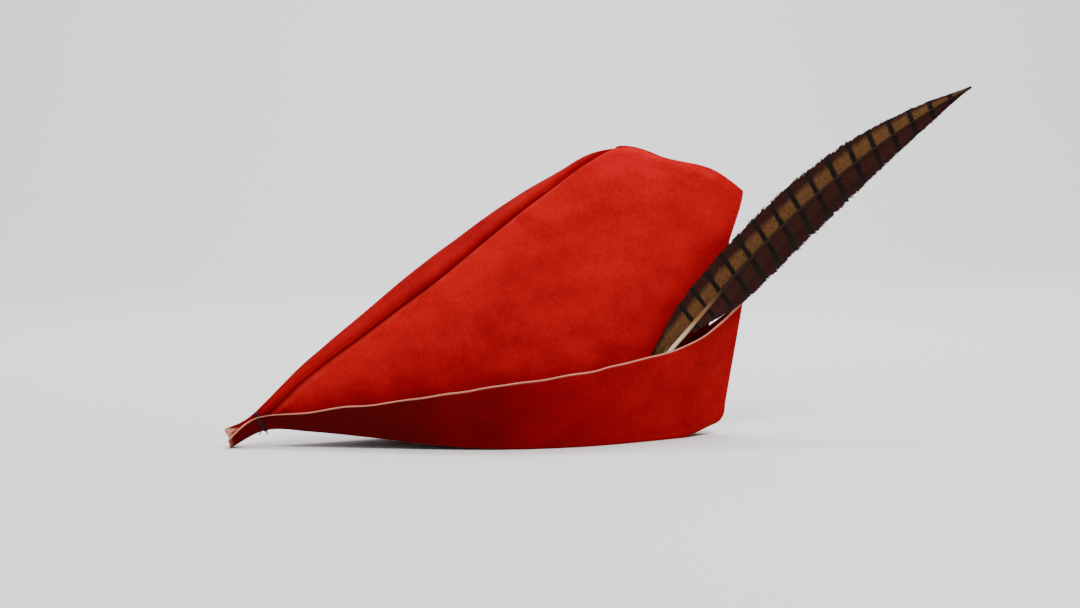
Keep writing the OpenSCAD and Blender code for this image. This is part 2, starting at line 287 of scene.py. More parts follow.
def rope(name: str, path: np.ndarray, radius: np.ndarray, finish: bpy.types.Material, closed: bool = False,
         plies: int = 3, twist: float = 0.0, sides: int = 10,
         ply_depth: float = 0.14) -> bpy.types.Object:
    """Makes a cord along a path, laid from twisted plies.

    Args:
        name: the piece's name.
        path: the middle line, in millimetres.
        radius: the cord's radius at each point of the path.
        finish: its material.
        closed: true where the cord joins up with itself.
        plies: how many strands are twisted together.
        twist: turns of twist in each millimetre.
        sides: points round the cord.
        ply_depth: how far a ply bulges, as a share of the radius.

    Returns:
        The new object.
    """
    n = len(path)
    ahead = np.roll(path, -1, axis=0) - np.roll(path, 1, axis=0) if closed else np.gradient(path, axis=0)
    ahead /= np.maximum(np.linalg.norm(ahead, axis=1, keepdims=True), 1e-9)
    up = np.zeros_like(path)
    guess = np.array([0.0, 0.0, 1.0]) if abs(ahead[0][2]) < 0.9 else np.array([0.0, 1.0, 0.0])
    for i in range(n):
        guess = guess - ahead[i] * guess.dot(ahead[i])
        guess /= np.linalg.norm(guess)
        up[i] = guess
    out = np.cross(ahead, up)
    steps = np.linalg.norm(np.diff(path, axis=0, append=path[:1]), axis=1)
    along = np.concatenate([[0], np.cumsum(steps)[:-1]])
    turns = along * twist
    if closed and twist:
        turns *= round(steps.sum() * twist * plies) / (steps.sum() * twist * plies)
    angle = np.linspace(0, 2 * math.pi, sides, endpoint=False)
    plies_seen = np.cos(plies * (angle[None] - 2 * math.pi * turns[:, None]))
    bumps = 1 + (ply_depth * plies_seen - 0.1 if twist else 0)
    r = np.asarray(radius)[:, None] * bumps
    points = path[:, None] + r[..., None] * (
        np.cos(angle)[None, :, None] * out[:, None] + np.sin(angle)[None, :, None] * up[:, None])
    obj = make_mesh(name, points.reshape(-1, 3), tube_faces(n, sides, closed), [finish], angle=60)
    face_outwards(obj)
    return obj


# ---------------------------------------------------------------- finishes


@dataclass
class Wiring:
    """Adds shader nodes to one material or group and joins them."""

    tree: bpy.types.NodeTree

    def join(self, source: bpy.types.NodeSocket, target: bpy.types.NodeSocket) -> None:
        """Links an output to an input."""
        self.tree.links.new(source, target)

    def add(self, kind: str, inputs: dict | None = None, **settings) -> bpy.types.Node:
        """Adds one node.

        Args:
            kind: its type, without the words that every shader node's type starts with.
            inputs: a value, or another node's output, for each input.
            settings: the node's own settings.

        Returns:
            The new node.
        """
        node = self.tree.nodes.new("ShaderNode" + kind)
        for name, value in settings.items():
            setattr(node, name, value)
        for name, value in (inputs or {}).items():
            if isinstance(value, bpy.types.NodeSocket):
                self.join(value, node.inputs[name])
            else:
                node.inputs[name].default_value = value
        return node

    def math(self, kind: str, *values: Value, clamp: bool = False) -> bpy.types.NodeSocket:
        """Returns the result of one sum."""
        return self.add("Math", dict(enumerate(values)), operation=kind, use_clamp=clamp).outputs[0]

    def between(self, share: Value, first: Value, second: Value) -> bpy.types.NodeSocket:
        """Returns the number that lies a share of the way from one to another."""
        return self.add("Mix", {0: share, 2: first, 3: second}).outputs[0]

    def blend(self, share: Value, first: Value, second: Value, kind: str = "MIX") -> bpy.types.NodeSocket:
        """Returns the first colour with a share of the second laid over it."""
        colours = {6: first, 7: second}
        for key, colour in colours.items():
            if isinstance(colour, tuple):
                colours[key] = (*colour, 1)
        return self.add("Mix", {0: share, **colours}, data_type="RGBA", blend_type=kind).outputs[2]

    def spread(self, value: Value, low: float, high: float, start: float = 0.0,
               stop: float = 1.0) -> bpy.types.NodeSocket:
        """Returns start where the value is at low, stop where it is at high, and between them in between."""
        inputs = {"Value": value, "From Min": low, "From Max": high, "To Min": start, "To Max": stop}
        return self.add("MapRange", inputs).outputs["Result"]

    def attribute(self, name: str) -> bpy.types.NodeSocket:
        """Returns the number that a piece's points carry under a name."""
        return self.add("Attribute", attribute_name=name).outputs["Fac"]

    def noise(self, scale: Value, detail: float = 2.0, stretch: Triple = (1, 1, 1)) -> bpy.types.NodeSocket:
        """Returns noise that stays with the piece."""
        where = self.add("Mapping", {"Vector": self.add("TexCoord").outputs["Object"], "Scale": stretch})
        inputs = {"Vector": where.outputs[0], "Scale": scale, "Detail": detail}
        return self.add("TexNoise", inputs).outputs["Fac"]

    def bump(self, height: bpy.types.NodeSocket, strength: float, distance: float) -> bpy.types.NodeSocket:
        """Returns normals that stand up with a height."""
        return self.add("Bump", {"Height": height, "Strength": strength, "Distance": distance}).outputs[0]


def nap_group() -> bpy.types.NodeTree:
    """Makes the nap that brushed leather and felted edges share.

    Returns:
        A group with inputs Size and Brushing, and outputs Shade and Height.
    """
    group = bpy.data.node_groups.new("brushed_nap", "ShaderNodeTree")
    for name, value in (("Size", 1.0), ("Brushing", 0.5)):
        group.interface.new_socket(name, in_out="INPUT", socket_type="NodeSocketFloat").default_value = value
    for name in ("Shade", "Height"):
        group.interface.new_socket(name, in_out="OUTPUT", socket_type="NodeSocketFloat")
    wires = Wiring(group)
    enter, leave = group.nodes.new("NodeGroupInput"), group.nodes.new("NodeGroupOutput")
    layers = ((16, 3, (1, 1, 1.15)), (60, 4, (0.8, 1, 1.2)), (420, 3, (1, 1, 1)), (1500, 2, (1, 1, 1)))
    broad, strokes, grain, hairs = (
        wires.noise(wires.math("MULTIPLY", enter.outputs["Size"], scale), detail, stretch)
        for scale, detail, stretch in layers)
    fine = wires.between(0.5, grain, hairs)
    both = wires.between(0.38, wires.between(enter.outputs["Brushing"], broad, strokes), fine)
    wires.join(wires.spread(both, 0.36, 0.64), leave.inputs["Shade"])
    wires.join(fine, leave.inputs["Height"])
    return group


@dataclass
class Palette:
    """Builds each finish once and hands it out by name."""

    made: dict[str, bpy.types.Material] = field(default_factory=dict)
    groups: dict[str, bpy.types.NodeTree] = field(default_factory=dict)

    def nap_and_painted_shade(self) -> bpy.types.NodeTree:
        """Returns the shared nap group."""
        if "nap_and_painted_shade" not in self.groups:
            self.groups["nap_and_painted_shade"] = nap_group()
        return self.groups["nap_and_painted_shade"]

    def get(self, finish: "Finish") -> bpy.types.Material:
        """Returns the material of a finish, building it the first time."""
        if finish.name not in self.made:
            self.made[finish.name] = finish.build(self)
        return self.made[finish.name]


@dataclass(frozen=True)
class Finish:
    """A surface finish with the shader's own settings."""

    name: str
    color: Triple
    roughness: float = 0.7
    sheen: float = 0.0
    specular: float = 0.4

    def start(self) -> tuple[bpy.types.Material, bpy.types.NodeInputs, Wiring]:
        """Returns a new material with its shader's inputs and its wiring."""
        material = bpy.data.materials.new(self.name)
        material.use_nodes = True
        shader = material.node_tree.nodes["Principled BSDF"]
        shader.inputs["Base Color"].default_value = (*self.color, 1)
        shader.inputs["Roughness"].default_value = self.roughness
        shader.inputs["Specular IOR Level"].default_value = self.specular
        shader.inputs["Sheen Weight"].default_value = self.sheen
        shader.inputs["Sheen Roughness"].default_value = 0.45
        return material, shader.inputs, Wiring(material.node_tree)

    def build(self, palette: Palette) -> bpy.types.Material:
        """Returns the material with no pattern."""
        return self.start()[0]


@dataclass(frozen=True)
class SuedeFinish(Finish):
    """Brushed suede that turns pale where its edge is rubbed and along a painted highlight, and takes painted
    shade from each piece.
    """

    deep: Triple = (0.040, 0.0006, 0.001)
    wear_and_highlight: Triple = (0.62, 0.24, 0.17)
    sheen_tint: Triple = (1.0, 0.30, 0.22)
    nap_size: float = 1.0
    brushing: float = 0.45
    contrast: float = 0.55
    shaded: bool = True
    even_shade: float = 0.9
    wear_gain: float = 1.5
    wear_start: float = -0.42
    patchiness: float = 0.45
    bump: float = 0.35
    hair: float = 0.0005

    def build(self, palette: Palette) -> bpy.types.Material:
        """Returns the suede with its nap, brush marks, rubbed edge, painted highlight and painted shade."""
        material, shader, wires = self.start()
        shader["Sheen Tint"].default_value = (*self.sheen_tint, 1)
        nap_and_painted_shade = wires.add("Group", {"Size": self.nap_size, "Brushing": self.brushing}, node_tree=palette.nap_and_painted_shade())
        depth = wires.math("MULTIPLY_ADD", nap_and_painted_shade.outputs["Shade"], self.contrast, 1 - self.contrast)
        # Painted shade: the pieces' shade values darken the tone, and pieces without them take one even value.
        lit = wires.math("MULTIPLY", depth, wires.attribute("shade") if self.shaded else self.even_shade)
        # This pale channel holds rubbed edges and the crown's painted highlight.
        wear_and_highlight_share = wires.attribute("wear_and_highlight")
        patches = wires.math("MULTIPLY_ADD", nap_and_painted_shade.outputs["Shade"], self.patchiness, self.wear_start)
        amount = wires.math("MULTIPLY_ADD", wear_and_highlight_share, self.wear_gain, patches, clamp=True)
        gate = wires.math("MULTIPLY", amount, wear_and_highlight_share, clamp=True)
        tone = wires.blend(lit, self.deep, self.color)
        wires.join(wires.blend(gate, tone, self.wear_and_highlight), shader["Base Color"])
        wires.join(wires.bump(nap_and_painted_shade.outputs["Height"], self.bump, self.hair), shader["Normal"])
        return material


@dataclass(frozen=True)
class ThreadFinish(Finish):
    """Waxed thread with fine fibres."""

    fibres: float = 2600
    dark: float = 0.55
    pale: float = 1.5
    bump: float = 0.5
    hair: float = 0.0003

    def build(self, palette: Palette) -> bpy.types.Material:
        """Returns the thread with a fibrous bump."""
        material, shader, wires = self.start()
        fibres = wires.noise(self.fibres)
        dark, pale = (tuple(min(1, c * k) for c in self.color) for k in (self.dark, self.pale))
        wires.join(wires.blend(fibres, dark, pale), shader["Base Color"])
        wires.join(wires.bump(fibres, self.bump, self.hair), shader["Normal"])
        return material


@dataclass(frozen=True)
class HornFinish(Finish):
    """The horn of the shaft, pale at the quill and browner towards the tip."""

    middle: Triple = (0.22, 0.11, 0.045)
    tip: Triple = (0.020, 0.008, 0.005)
    stops: Triple = (0.14, 0.22, 0.30)

    def build(self, palette: Palette) -> bpy.types.Material:
        """Returns the horn, coloured along its length."""
        material, shader, wires = self.start()
        ramp = wires.add("ValToRGB", {0: wires.attribute("along")})
        steps = ramp.color_ramp.elements
        steps.new(self.stops[1])
        for step, stop, color in zip(steps, self.stops, (self.color, self.middle, self.tip)):
            step.position, step.color = stop, (*color, 1)
        wires.join(ramp.outputs[0], shader["Base Color"])
        return material


@dataclass(frozen=True)
class BarbFinish(Finish):
    """Feather barbs: tan by the shaft, chestnut at the fringe, crossed by black bars."""

    fringe: Triple = (0.028, 0.005, 0.004)
    bar: Triple = (0.006, 0.004, 0.003)
    speck: Triple = (0.35, 0.28, 0.25)
    bar_edge: tuple[float, float] = (0.0864, 0.1458)
    tan_end: tuple[float, float] = (0.40, 0.62)
    speck_scale: float = 900
    speck_range: tuple[float, float] = (0.48, 0.72)

    def build(self, palette: Palette) -> bpy.types.Material:
        """Returns the barbs, coloured from their place along and across the feather."""
        material, shader, wires = self.start()
        place = wires.add("SeparateXYZ", {0: wires.add("UVMap", uv_map="plumage").outputs[0]})
        part = wires.math("SUBTRACT", wires.math("FRACT", place.outputs[0]), 0.5)
        bars = wires.spread(wires.math("ABSOLUTE", part), *self.bar_edge, 1.0, 0.0)
        tone = wires.blend(wires.spread(place.outputs[1], *self.tan_end), self.color, self.fringe)
        specks = wires.spread(wires.noise(self.speck_scale), *self.speck_range)
        dark = wires.blend(specks, tone, self.speck, "MULTIPLY")
        wires.join(wires.blend(bars, dark, self.bar), shader["Base Color"])
        return material


SUEDE = SuedeFinish("red_suede", (0.47, 0.003, 0.007), roughness=0.95, sheen=0.09, specular=0.04)
CUT_EDGE = SuedeFinish("cut_suede_edge", (0.60, 0.22, 0.16), roughness=0.95, sheen=0.3, specular=0.1,
                       deep=(0.42, 0.11, 0.08), nap_size=2.0)
KEEPER_SUEDE = SuedeFinish("keeper_suede", (0.30, 0.004, 0.006), roughness=0.95, sheen=0.09, specular=0.04,
                           shaded=False)
SEAM_THREAD = ThreadFinish("seam_thread", (0.10, 0.008, 0.008), roughness=0.75)
CORD = ThreadFinish("binding_cord", (0.014, 0.006, 0.005), roughness=0.8, specular=0.15)
HORN = HornFinish("quill_horn", (0.74, 0.60, 0.42), roughness=0.7, specular=0.1)
UPPER_BARBS = BarbFinish("upper_barbs", (0.125, 0.055, 0.018), roughness=0.7, specular=0.12)
# Painted shade: the lower vane is painted much darker than the upper, as its shaded side.
SHADED_LOWER_BARBS = BarbFinish("lower_barbs", (0.040, 0.010, 0.006), roughness=0.7, specular=0.12,
                         fringe=(0.024, 0.004, 0.003))
DOWN = Finish("feather_down", (0.40, 0.30, 0.21), roughness=0.9, sheen=0.3)
PALE_FLOOR = Finish("pale_floor", (0.88, 0.88, 0.87), roughness=0.9, specular=0.2)


# ---------------------------------------------------------------- the hat's lines


@dataclass(frozen=True)
class HatLines:
    """The outlines of the hat, rib by rib from its tip to its back, as the CAD part has them."""

    suede: float = 1.6
    sewing_gap: float = 0.2
    crown_h: float = 204
    opening_half_w: float = 54
    fullness: float = 1.4
    seam_drop: float = 18.5
    brim_h: float = 92
    flare: float = 12
    roll: float = 4
    fold_rise: float = 3.2
    back_roll: float = 16
    back_fold_rise: float = 15
    back_from: float = 0.8
    wrap_from: float = 0.9
    back_slant: float = 1.5
    crown_thin: float = 1.5
    corner_pull: float = 3
    corner_power: float = 22
    strip_out: float = 1.0
    binding_u: float = 1 / 9
    base: tuple = ((-205.5, 0), (-180, 12), (-148, 11), (-104, 7.5), (-55, 2.5),
                   (-5, 0), (40, 0), (80, 0), (110, 0), (127, 6))
    base_share: tuple = (0.055, 0.045, 0.20, 0.50, 0.81, 1, 0.93, 0.62, 0.28, 0.002)
    ridge: tuple = ((-209.5, 0.066), (-187, 0.117), (-150, 0.292), (-102, 0.483), (-46, 0.689),
                    (14, 0.878), (70, 1), (108, 0.953), (138, 0.914), (162, 0.836))
    seam_share: tuple = (0.1, 0.2, 0.52, 0.81, 1, 0.6, 0, 0, 0, 0)
    edge: tuple = ((-206.5, 0.070), (-186, 0.232), (-146, 0.280), (-100, 0.350), (-50, 0.428),
                   (0, 0.512), (46, 0.576), (88, 0.645), (124, 0.755), (157, 1))
    edge_share: tuple = (0.2, 0.03, 0.4, 0.8, 1, 0.95, 0.95, 1, 0.6, 0)

    def base_z(self, u: np.ndarray) -> np.ndarray:
        """Returns the height of the brim's underside."""
        return np.maximum(0, through(self.base, u)[..., 1])

    def half_w(self, u: np.ndarray) -> np.ndarray:
        """Returns the crown's half-width at its base."""
        return np.maximum(0.1, self.opening_half_w * through(self.base_share, u))

    def back(self, u: np.ndarray) -> np.ndarray:
        """Returns how near the back seam a place is, from 0 to 1."""
        return np.clip((u - self.back_from) / (1 - self.back_from), 0, 1) ** 2

    def seam_angle(self, u: np.ndarray) -> np.ndarray:
        """Returns the angle of the ridge seam round the crown, in degrees."""
        rise = self.crown_h * through(self.ridge, u)[..., 1] - self.base_z(u) - self.suede - self.sewing_gap
        drop = self.seam_drop * np.maximum(0, through(self.seam_share, u))
        return np.degrees(np.arcsin(np.clip(1 - drop / rise, 0, 1) ** (self.fullness / 2)))

    def crown(self, u: np.ndarray, a: np.ndarray, deep: float = 0.0) -> np.ndarray:
        """Places points on the crown.

        Args:
            u: share of the hat's length, from the tip.
            a: degrees round the crown, from 0 at the left base to 180 at the right one.
            deep: 0 on the outside, the suede's thickness on the inside.

        Returns:
            The points, in millimetres.
        """
        t = np.radians(a)
        g = np.maximum(0, np.sin(t)) ** (2 / self.fullness)
        c = np.abs(np.cos(t)) ** (2 / self.fullness)
        w = self.half_w(u) - deep * (1 - self.back(u))
        z0 = self.base_z(u) + self.suede + self.sewing_gap
        ridge = through(self.ridge, u)
        rise = self.crown_h * ridge[..., 1] - z0 - deep * self.crown_thin
        x = mix(through(self.base, u)[..., 0], ridge[..., 0], g * g) - deep * self.back_slant * self.back(u)
        x = x - self.corner_pull * g ** self.corner_power * self.back(u)
        return np.stack([x, np.where(a < 90, -1, 1) * np.maximum(0.1, w * c), z0 + rise * g], -1)

    def brim(self, u: np.ndarray, v: np.ndarray, side: Side, deep: float = 0.0) -> np.ndarray:
        """Places points on one side of the brim.

        Args:
            u: share of the hat's length, from the tip.
            v: 0 at the sewn edge, 0.1 at the start of the fold, 0.4 past it and 1 at the free edge.
            side: which side.
            deep: 0 on the outside, the suede's thickness on the face towards the crown.

        Returns:
            The points, in millimetres.
        """
        bx, bz, hw, back = through(self.base, u)[..., 0], self.base_z(u), self.half_w(u), self.back(u)
        edge = through(self.edge, u)
        fold = np.stack([bx + self.back_roll * back,
                         hw + self.roll * np.clip((1 - u) / (1 - self.wrap_from), 0, 1),
                         bz + mix(self.fold_rise, self.back_fold_rise, back)], -1)
        out = fold[..., 1] + self.flare * np.maximum(0, through(self.edge_share, u))
        free = np.stack([edge[..., 0], out, self.brim_h * edge[..., 1]], -1)
        sewn = np.stack([bx - self.suede * self.back_slant * back, hw - self.suede * (1 - back), bz], -1)
        turn = np.stack([bx + self.strip_out * back, hw + self.strip_out * (1 - back), bz], -1)
        corner = np.stack([fold[..., 0], fold[..., 1], bz], -1)
        k = np.clip((v - 0.1) / 0.3, 0, 1)[..., None]
        w = np.clip((v - 0.4) / 0.6, 0, 1)[..., None]
        p = mix(mix(mix(sewn, turn, np.clip(v / 0.1, 0, 1)[..., None]), corner, k), mix(corner, fold, k), k)
        p = np.where(v[..., None] < 0.4, p, mix(fold, free, w))
        flat = np.clip((0.4 - v) / 0.3, 0, 1)
        away = (1 - flat) * deep
        y = np.maximum(0.1, p[..., 1] - away * (1 - back))
        x, z = p[..., 0] - away * self.back_slant * back, p[..., 2] + flat * deep
        return np.stack([x, side.value * y, z], -1)


LINES = HatLines()


@dataclass(frozen=True)
class Cut:
    """A panel as it was cut from the flat skin, in metres and square metres."""

    flat: tuple[float, float]
    area: dict[Side, float]
    held: str


CROWN_CUT = Cut((0.23, 0.41), {Side.LEFT: 0.0455, Side.RIGHT: 0.0540}, "stretched")
BRIM_CUT = Cut((0.10, 0.39), {Side.LEFT: 0.0178, Side.RIGHT: 0.0178}, "folded")


@dataclass
class Panel:
    """One sewn panel of suede, with its soft shape."""

    lines: HatLines
    palette: Palette
    side: Side
    rows: int = 230
    slackness: float = 1.3
    lump: float = 62
    small_lump: float = 24
    gather_depth: float = 0.9
    gathers: float = 2.4
    gathers_from: float = 22
    gathers_fade: float = 26

    def soften(self, p: np.ndarray, u: np.ndarray, height: np.ndarray, seed: float) -> np.ndarray:
        """Returns how far the suede stands out from its pattern, in millimetres.

        Args:
            p: grid of points.
            u: share of the hat's length at each point.
            height: share of the panel's height at each point.
            seed: an offset that makes each panel different.
        """
        wide = cloudy(p * (1, 0.6, 1), self.lump, seed) * self.slackness
        wide += cloudy(p, self.small_lump, seed + 9) * self.slackness * 0.28
        past = p[..., 0] - p[0, 0, 0] - self.gathers_from
        near = np.exp(-np.maximum(0, past) / self.gathers_fade) * smooth(0.06, 0.13, u)
        waves = height * 2 * math.pi * self.gathers + seed + past * 0.012
        gathers = np.sin(waves) * self.gather_depth * near
        return wide * smooth(0.05, 0.2, u) + gathers

    def sew(self, kind: str, outer: np.ndarray, inner: np.ndarray, wear_and_highlight: np.ndarray, nap_and_painted_shade: np.ndarray,
            flip: bool, cut_top: bool) -> bpy.types.Object:
        """Closes the panel from the grids of its two faces, with its paleness and its painted shade, and names
        it after its side.
        """
        return closed_sheet(f"{kind}_panel_{self.side.name.lower()}", outer, inner, np.clip(wear_and_highlight, 0, 1), nap_and_painted_shade,
                            [self.palette.get(SUEDE), self.palette.get(CUT_EDGE)], flip, cut_top)


@dataclass
class CrownPanel(Panel):
    """One side of the crown, from its sewn base up to the ridge seam."""

    columns: int = 84
    groove: float = 2.6
    lip: float = 1.2
    back_groove: float = 0.7
    back_lip: float = 0.5
    lip_at: float = 6
    lip_w: float = 4
    groove_w: float = 2.3

    def build(self) -> bpy.types.Object:
        """Returns the panel, with a soft lip beside each of its seams, and its painted shade and painted
        highlight.
        """
        left = self.side is Side.LEFT
        u = np.linspace(0, 1, self.rows)[:, None] * np.ones(self.columns)
        u = 1 - (1 - u) ** 1.12
        k = np.linspace(0, 1, self.columns)
        if left:
            k = mix(k, smooth(0, 1, k), 0.9)
        k = k[None] * np.ones((self.rows, 1))
        seam = self.lines.seam_angle(u)
        a = k * (seam - 0.3) if left else mix(seam, 180, k)
        outer, inner = self.lines.crown(u, a), self.lines.crown(u, a, self.lines.suede)
        normal = grid_normals(outer)
        normal *= np.sign(np.sum(normal * (outer - (0, 0, 40)), axis=2, keepdims=True).mean())
        up = lengths_along(outer, 1)
        from_ridge = up[:, -1:] - up if left else up
        along = lengths_along(outer, 0)
        from_back = along[-1:] - along
        soft = self.soften(outer, u, k if left else 1 - k, 3.1 if left else 41.7)
        from_base = up if left else up[:, -1:] - up
        soft *= smooth(0, 14, from_base) * smooth(0, 9, from_back)
        sunk = 1 - 0.7 * smooth(0.60, 0.72, u)
        seams = (from_ridge, self.groove * sunk, self.lip), (from_back, self.back_groove, self.back_lip)
        for far, deep, puff in seams:
            soft += puff * np.exp(-(((far - self.lip_at) / self.lip_w) ** 2))
            soft -= deep * np.exp(-((far / self.groove_w) ** 2))
        soft *= smooth(0.03, 0.16, u) * 0.9 + 0.1
        shift = normal * soft[..., None]
        shift[..., 1] *= smooth(0, 2.0, np.abs(outer[..., 1]))
        outer, inner = outer + shift, inner + shift
        tip = smooth(0.045, 0.0, u) * 0.8 + smooth(2.2, 0.0, from_ridge) * smooth(0.1, 0.0, u)
        # Painted highlight: a pale band on the lip beside the ridge seam, strongest on the near panel.
        tip += 0.16 * np.exp(-(((from_ridge - 6) / 4.5) ** 2)) * (1 if left else 0.2) * smooth(0.05, 0.15, u)
        # Painted shade and highlight: darker towards the base and at the tip, lighter beside the ridge seam,
        # most on the near panel, darker in the seam's groove and near the back seam.
        nap_and_painted_shade = mix(0.62, 0.96, smooth(5, 75, from_base)) * smooth(-0.1, 0.10, u)
        nap_and_painted_shade += (0.34 if left else 0.04) * np.exp(-((from_ridge / 30) ** 2)) * smooth(0.1, 0.2, u)
        nap_and_painted_shade *= 1 - 0.6 * np.exp(-((from_ridge / 2.4) ** 2)) * smooth(0.02, 0.1, u) * smooth(0.72, 0.60, u)
        nap_and_painted_shade -= 0.18 * np.exp(-(((from_back - 6) / 22) ** 2)) * smooth(0.5, 0.9, u)
        return self.sew("crown", outer, inner, tip, nap_and_painted_shade, flip=True, cut_top=False)


@dataclass
class BrimPanel(Panel):
    """One side of the turned-up brim, from its sewn edge round the fold to its cut edge."""

    waves: float = 1.7
    step_at: float = 55
    step_h: float = 1.2

    def build(self) -> bpy.types.Object:
        """Returns the panel with a gently wavy cut edge and its painted shade."""
        left = self.side is Side.LEFT
        parts = (np.linspace(0, 0.1, 4, False), np.linspace(0.1, 0.4, 14, False), np.linspace(0.4, 1, 46))
        v = np.concatenate(parts)[None] * np.ones((self.rows, 1))
        u = np.linspace(0, 1, self.rows)[:, None] * np.ones(v.shape[1])
        outer, inner = (self.lines.brim(u, v, self.side, d) for d in (0.0, self.lines.suede))
        normal = grid_normals(outer)
        normal *= np.sign(normal[self.rows // 2, -5, 1] * self.side.value)
        wall = np.clip((v - 0.4) / 0.6, 0, 1)
        up = lengths_along(outer, 1)
        from_edge = up[:, -1:] - up
        along = lengths_along(outer, 0)
        from_back = along[-1:] - along
        seed = 17.3 if left else 66.2
        soft = self.soften(outer, u, wall, seed) * wall
        soft += cloudy(outer * (1, 0, 0.3), 38, seed + 5) * self.waves * wall ** 1.5 * smooth(0.1, 0.25, u)
        soft += 0.4 * np.exp(-(((from_back - 3.5) / 2.5) ** 2)) - 0.6 * np.exp(-((from_back / 1.4) ** 2))
        soft *= smooth(0, 30, from_back) * 0.85 + 0.15
        shift = normal * soft[..., None]
        shift[..., 1] *= smooth(0, 2.5, np.abs(outer[..., 1]))
        rise = cloudy(outer * (1, 0, 0), 21, seed + 2) * 0.9 * smooth(0.12, 0.3, u) * smooth(1, 0.93, u)
        if left:
            past = outer[..., 0] - self.step_at
            rise = rise + self.step_h * np.tanh(past / 7) * np.exp(-((past / 26) ** 2))
        shift[..., 2] += rise * wall ** 2
        outer, inner = outer + shift, inner + shift
        wear_and_highlight = smooth(1.5, 0.1, from_edge) + smooth(0.035, 0.0, u) * 0.5
        # Painted shade: the left brim is painted darker towards the tip, and the right brim evenly darker than
        # the crown.
        nap_and_painted_shade = mix(0.07, 0.66, smooth(-170, 150, outer[..., 0]) ** 1.2) if left else 0.4 + 0 * u
        return self.sew("brim", outer, inner, wear_and_highlight, nap_and_painted_shade, flip=left, cut_top=True)


@dataclass
class TipBinding:
    """The waxed cord wound round the hat's tip, with its knot and two short tails."""

    lines: HatLines
    palette: Palette
    cord_d: float = 0.95
    turns: int = 3
    squareness: float = 2.6
    room: float = 0.5
    lay: float = 0.35

    def build(self) -> list[bpy.types.Object]:
        """Returns the windings and the knot."""
        u = np.array([self.lines.binding_u])
        low = np.array([through(self.lines.base, u)[0, 0], 0, self.lines.base_z(u)[0]])
        ridge = through(self.lines.ridge, u)[0]
        high = np.array([ridge[0], 0, ridge[1] * self.lines.crown_h])
        up = (high - low) / np.linalg.norm(high - low)
        along = np.cross((0, 1, 0), up)
        w = self.lines.half_w(u)[0] + self.lines.roll + self.room
        h = np.linalg.norm(high - low) / 2 + self.room
        angle = np.linspace(0, 2 * math.pi, 96, endpoint=False)
        c, s = np.cos(angle), np.sin(angle)
        power = 2 / self.squareness
        ring = ((low + high) / 2 + w * (np.sign(c) * np.abs(c) ** power)[:, None] * np.array([0, 1, 0])
                + h * (np.sign(s) * np.abs(s) ** power)[:, None] * up)
        radius, finish, pieces = self.cord_d / 2, self.palette.get(CORD), []
        for i in range(self.turns):
            lean = 0.25 * np.sin(angle + i)[:, None] * along
            path = ring + (i - (self.turns - 1) / 2) * self.cord_d * 0.95 * along + lean
            pieces.append(rope(f"tip_winding_{i + 1}", path, radius + 0 * angle, finish, True, twist=self.lay))
        at = (low + high) / 2 + np.array([0, w + 0.9, -1])
        t = np.linspace(0, 1, 70)
        knot = at + np.stack([1.5 * np.sin(2 * math.pi * 2 * t), 0.9 * np.cos(2 * math.pi * 3 * t),
                              1.5 * np.cos(2 * math.pi * 2 * t) * (0.6 + 0.4 * t)], 1)
        pieces.append(rope("binding_knot_turns", knot, radius + 0 * t, finish, twist=self.lay))
        for side in (-1, 1):
            t = np.linspace(0, 1, 24)
            tail = at + np.stack([side * (0.4 + 2.4 * t), 0.4 + 0.9 * np.sin(t * 2), -9.5 * t], 1)
            frayed = radius * (1 + 0.2 * smooth(0.85, 1, t))
            name = f"binding_tail_{'front' if side < 0 else 'back'}"
            pieces.append(rope(name, tail, frayed, finish, twist=self.lay))
        return pieces


